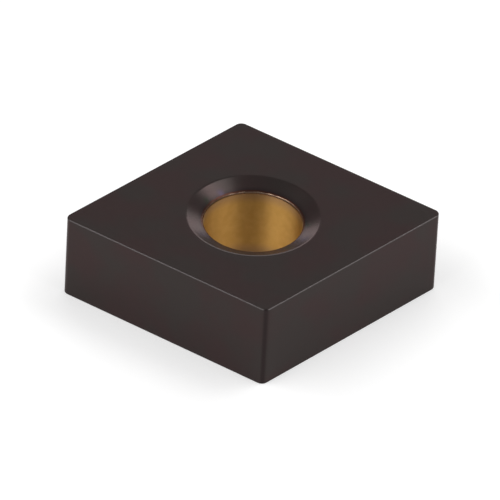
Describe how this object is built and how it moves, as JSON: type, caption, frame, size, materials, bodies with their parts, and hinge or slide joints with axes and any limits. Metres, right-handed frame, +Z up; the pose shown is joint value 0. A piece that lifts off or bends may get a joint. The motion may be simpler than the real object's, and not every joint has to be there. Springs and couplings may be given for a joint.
{
  "type": "carbide turning insert",
  "caption": "Flat-faced 80 degree rhombic cutting insert with square flanks and a countersunk bore, clamped on a lathe tool holder.",
  "frame": {"origin": "middle of the lower face, on the bore's axis", "axes": "+Z up through the bore, square to both faces; +X along the long diagonal to an 80 degree nose; +Y along the short diagonal"},
  "size_m": [0.0194, 0.0164, 0.0048],
  "materials": {
    "coated_carbide": "satin, thin hard dark brown-grey coating with a fine ground grain; the bore's wall shows a gold undercoat"
  },
  "bodies": {
    "root": {"insert": "coated_carbide"}
  },
  "joints": []
}
